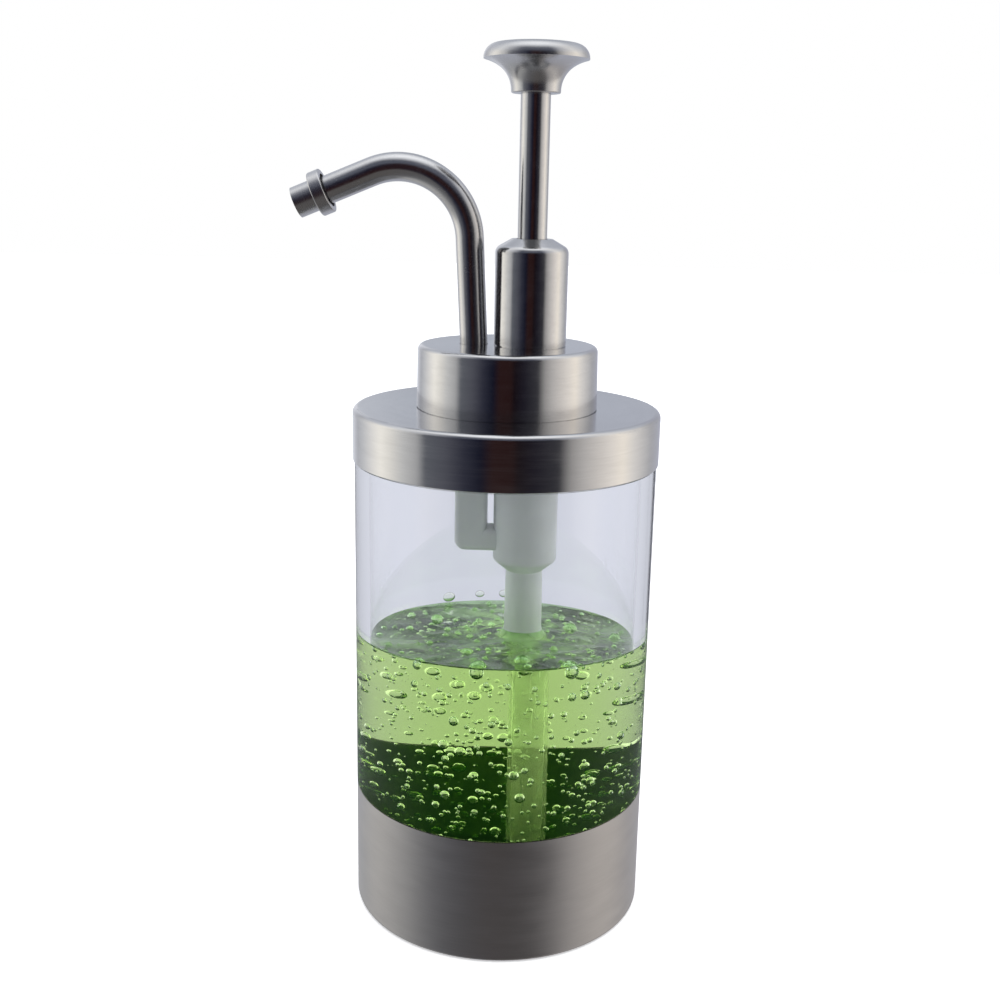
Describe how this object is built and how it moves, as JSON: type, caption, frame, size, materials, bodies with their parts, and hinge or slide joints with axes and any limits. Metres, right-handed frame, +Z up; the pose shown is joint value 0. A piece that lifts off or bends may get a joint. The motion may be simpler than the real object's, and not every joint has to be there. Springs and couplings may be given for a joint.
{
  "type": "condiment pump dispenser",
  "caption": "Clear cylindrical jar in a steel base cup, with a lift-off steel lid that carries a spring-return plunger pump, a mushroom knob and a drooping gooseneck spout.",
  "frame": {"origin": "centre of the foot pad's underside, on the jar's axis", "axes": "+Z up the jar's axis; -X from the pump towards the spout's nozzle; the XZ plane holds the jar's axis, the pump's axis and the spout"},
  "size_m": [0.103, 0.086, 0.245],
  "materials": {
    "jar_clear": "gloss",
    "gel": "gloss",
    "base_steel": "satin",
    "lid_steel": "satin",
    "collar_steel": "satin",
    "bell_steel": "satin",
    "rod_steel": "polished",
    "knob_steel": "satin",
    "spout_steel": "satin",
    "nozzle_steel": "satin",
    "ball_steel": "polished",
    "spring_steel": "satin",
    "pump_plastic": "satin",
    "plug_plastic": "satin",
    "tube_plastic": "satin",
    "bush_plastic": "satin",
    "seal_rubber": "matte",
    "foot_rubber": "matte"
  },
  "bodies": {
    "jar": {"jar_tube": "jar_clear", "jar_floor": "jar_clear", "base_cup": "base_steel", "foot_pad": "foot_rubber", "gel_fill": "gel"},
    "head": {"lid_shell": "lid_steel", "lid_plug": "plug_plastic", "lid_seal_ring": "seal_rubber", "collar_cap": "collar_steel", "pump_body": "pump_plastic", "pump_gasket": "seal_rubber", "channel_plug": "pump_plastic", "foot_valve": "pump_plastic", "inlet_ball_cage": "pump_plastic", "outlet_ball_cage": "pump_plastic", "dip_tube": "tube_plastic", "spout_tube": "spout_steel", "spout_seal_ring": "seal_rubber", "nozzle_tip": "nozzle_steel", "pump_bell": "bell_steel", "rod_bush": "bush_plastic", "rod_wiper_ring": "seal_rubber", "return_spring": "spring_steel"},
    "plunger": {"push_knob": "knob_steel", "plunger_rod": "rod_steel", "piston": "pump_plastic", "piston_seal_ring": "seal_rubber", "piston_nut": "ball_steel"},
    "inlet_check_ball": {"inlet_ball": "ball_steel"},
    "outlet_check_ball": {"outlet_ball": "ball_steel"}
  },
  "joints": [
    {"name": "lid_lift", "type": "slide", "parent": "jar", "child": "head", "axis": [0, 0, 1], "range_m": [0, 0.145]},
    {"name": "plunger_press", "type": "slide", "parent": "head", "child": "plunger", "axis": [0, 0, -1], "range_m": [0, 0.032], "stiffness_N_per_m": 250, "springref_m": -0.01, "deforming": ["return_spring"]},
    {"name": "inlet_ball_lift", "type": "slide", "parent": "head", "child": "inlet_check_ball", "axis": [0, 0, 1], "range_m": [0, 0.0013]},
    {"name": "outlet_ball_lift", "type": "slide", "parent": "head", "child": "outlet_check_ball", "axis": [0, 0, 1], "range_m": [0, 0.002]}
  ]
}
